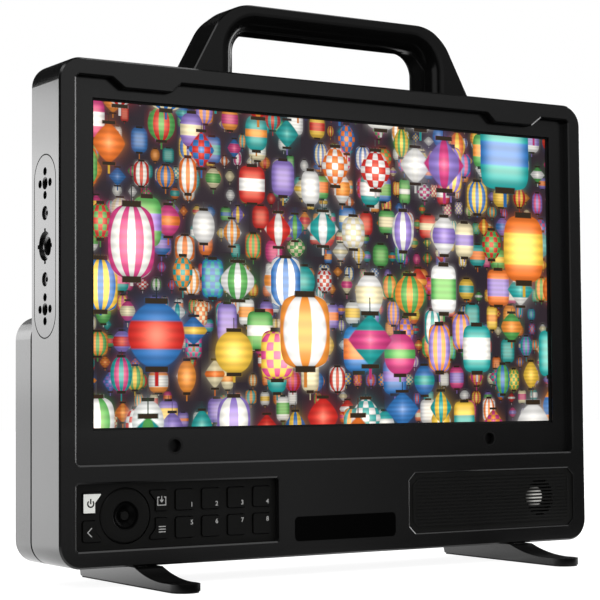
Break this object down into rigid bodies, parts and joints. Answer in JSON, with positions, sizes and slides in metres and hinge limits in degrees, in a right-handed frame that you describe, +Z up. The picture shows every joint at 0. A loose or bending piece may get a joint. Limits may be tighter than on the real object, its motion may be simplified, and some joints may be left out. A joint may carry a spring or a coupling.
{
  "type": "video monitor",
  "caption": "Portable field video monitor with a metal body, flat screen, keypad with rocker, slotted speaker grille, threaded side plates, carrying handle and swivelling feet.",
  "frame": {"origin": "on the floor, under the middle of the object's width and of the feet's length", "axes": "+X to the right seen from the front, +Y from the screen towards the back, +Z up"},
  "size_m": [0.337, 0.111, 0.3033],
  "materials": {
    "black_anodised": "satin black anodised",
    "handle_black": "satin black anodised",
    "keypad_black": "fine matt",
    "grille_black": "satin black, slotted",
    "key_black": "smooth matt",
    "lit_key": "translucent white, lit from behind",
    "gloss_black": "gloss black",
    "black_moulding": "matt black moulding",
    "black_rubber": "matt",
    "screen_glass": "semi-gloss screen with a lit picture",
    "light_guide": "clear acrylic with white film",
    "plain_aluminium": "mill",
    "bare_steel": "zinc plated",
    "blackened_steel": "black oxide",
    "nickel": "nickel plated",
    "magnet_iron": "zinc",
    "speaker_dome": "silver foil dome on a paper cone",
    "circuit_board": "green solder mask",
    "white_nylon": "smooth"
  },
  "bodies": {
    "chassis": {"front_frame": "black_anodised", "back_plate": "black_anodised", "rear_housing": "black_anodised", "seam_seal": "black_rubber", "display_mask": "black_moulding", "lcd_panel": "screen_glass", "backlight_unit": "light_guide", "panel_tray": "plain_aluminium", "heat_spreader": "plain_aluminium", "board_standoffs": "bare_steel", "main_board": "circuit_board", "processor_heat_sink": "plain_aluminium", "protector_sockets": "blackened_steel", "keypad_plate": "keypad_black", "key_guide": "black_moulding", "keypad_board": "circuit_board", "keypad_screws": "bare_steel", "speaker_grille": "grille_black", "speaker_frame": "bare_steel", "speaker_cone": "speaker_dome", "speaker_magnet": "magnet_iron", "badge_plate": "gloss_black", "side_mount_left": "black_anodised", "side_mount_right": "black_anodised", "side_mount_screws": "blackened_steel", "handle": "handle_black", "handle_screws": "bare_steel", "foot_washers": "white_nylon", "foot_pivots": "blackened_steel", "back_plate_screws": "blackened_steel", "rear_housing_screws": "blackened_steel", "connector_plate": "keypad_black", "io_board": "circuit_board", "sdi_connectors": "nickel", "hdmi_ports": "nickel", "network_port": "black_moulding", "power_inlet": "black_moulding", "fan_frame": "black_moulding", "inner_screws": "bare_steel"},
    "power_key": {"power_key": "lit_key"},
    "back_key": {"back_key": "key_black"},
    "input_key": {"input_key": "key_black"},
    "menu_key": {"menu_key": "key_black"},
    "key_1": {"key_1": "key_black"},
    "key_2": {"key_2": "key_black"},
    "key_3": {"key_3": "key_black"},
    "key_4": {"key_4": "key_black"},
    "key_5": {"key_5": "key_black"},
    "key_6": {"key_6": "key_black"},
    "key_7": {"key_7": "key_black"},
    "key_8": {"key_8": "key_black"},
    "nav_gimbal": {"nav_gimbal": "black_moulding"},
    "nav_ring": {"nav_ring": "gloss_black"},
    "select_button": {"select_button": "gloss_black"},
    "foot_left": {"foot_left": "black_anodised", "foot_pad_left": "black_rubber"},
    "foot_right": {"foot_right": "black_anodised", "foot_pad_right": "black_rubber"},
    "fan_rotor": {"fan_rotor": "black_moulding"}
  },
  "joints": [
    {"name": "power_key_press", "type": "slide", "parent": "chassis", "child": "power_key", "axis": [0, 1, 0], "range_m": [0, 0.0008], "stiffness_N_per_m": 1500},
    {"name": "back_key_press", "type": "slide", "parent": "chassis", "child": "back_key", "axis": [0, 1, 0], "range_m": [0, 0.0008], "stiffness_N_per_m": 1500},
    {"name": "input_key_press", "type": "slide", "parent": "chassis", "child": "input_key", "axis": [0, 1, 0], "range_m": [0, 0.0008], "stiffness_N_per_m": 1500},
    {"name": "menu_key_press", "type": "slide", "parent": "chassis", "child": "menu_key", "axis": [0, 1, 0], "range_m": [0, 0.0008], "stiffness_N_per_m": 1500},
    {"name": "key_1_press", "type": "slide", "parent": "chassis", "child": "key_1", "axis": [0, 1, 0], "range_m": [0, 0.0008], "stiffness_N_per_m": 1500},
    {"name": "key_2_press", "type": "slide", "parent": "chassis", "child": "key_2", "axis": [0, 1, 0], "range_m": [0, 0.0008], "stiffness_N_per_m": 1500},
    {"name": "key_3_press", "type": "slide", "parent": "chassis", "child": "key_3", "axis": [0, 1, 0], "range_m": [0, 0.0008], "stiffness_N_per_m": 1500},
    {"name": "key_4_press", "type": "slide", "parent": "chassis", "child": "key_4", "axis": [0, 1, 0], "range_m": [0, 0.0008], "stiffness_N_per_m": 1500},
    {"name": "key_5_press", "type": "slide", "parent": "chassis", "child": "key_5", "axis": [0, 1, 0], "range_m": [0, 0.0008], "stiffness_N_per_m": 1500},
    {"name": "key_6_press", "type": "slide", "parent": "chassis", "child": "key_6", "axis": [0, 1, 0], "range_m": [0, 0.0008], "stiffness_N_per_m": 1500},
    {"name": "key_7_press", "type": "slide", "parent": "chassis", "child": "key_7", "axis": [0, 1, 0], "range_m": [0, 0.0008], "stiffness_N_per_m": 1500},
    {"name": "key_8_press", "type": "slide", "parent": "chassis", "child": "key_8", "axis": [0, 1, 0], "range_m": [0, 0.0008], "stiffness_N_per_m": 1500},
    {"name": "rocker_up_down", "type": "hinge", "parent": "chassis", "child": "nav_gimbal", "pos_m": [-0.1306, 0, 0.0354], "axis": [1, 0, 0], "range_deg": [-3, 3], "stiffness_Nm_per_rad": 0.3},
    {"name": "rocker_left_right", "type": "hinge", "parent": "nav_gimbal", "child": "nav_ring", "pos_m": [-0.1306, 0, 0.0354], "axis": [0, 0, 1], "range_deg": [-3, 3], "stiffness_Nm_per_rad": 0.3},
    {"name": "select_press", "type": "slide", "parent": "nav_ring", "child": "select_button", "axis": [0, 1, 0], "range_m": [0, 0.0005], "stiffness_N_per_m": 2000},
    {"name": "foot_left_swivel", "type": "hinge", "parent": "chassis", "child": "foot_left", "pos_m": [-0.1196, 0.007, 0.0051], "axis": [0, 0, 1], "range_deg": [0, 90]},
    {"name": "foot_right_swivel", "type": "hinge", "parent": "chassis", "child": "foot_right", "pos_m": [0.1196, 0.007, 0.0051], "axis": [0, 0, 1], "range_deg": [-90, 0]},
    {"name": "fan_spin", "type": "hinge", "parent": "chassis", "child": "fan_rotor", "pos_m": [0.1, 0.037, 0.0721], "axis": [0, 1, 0], "continuous": true}
  ]
}
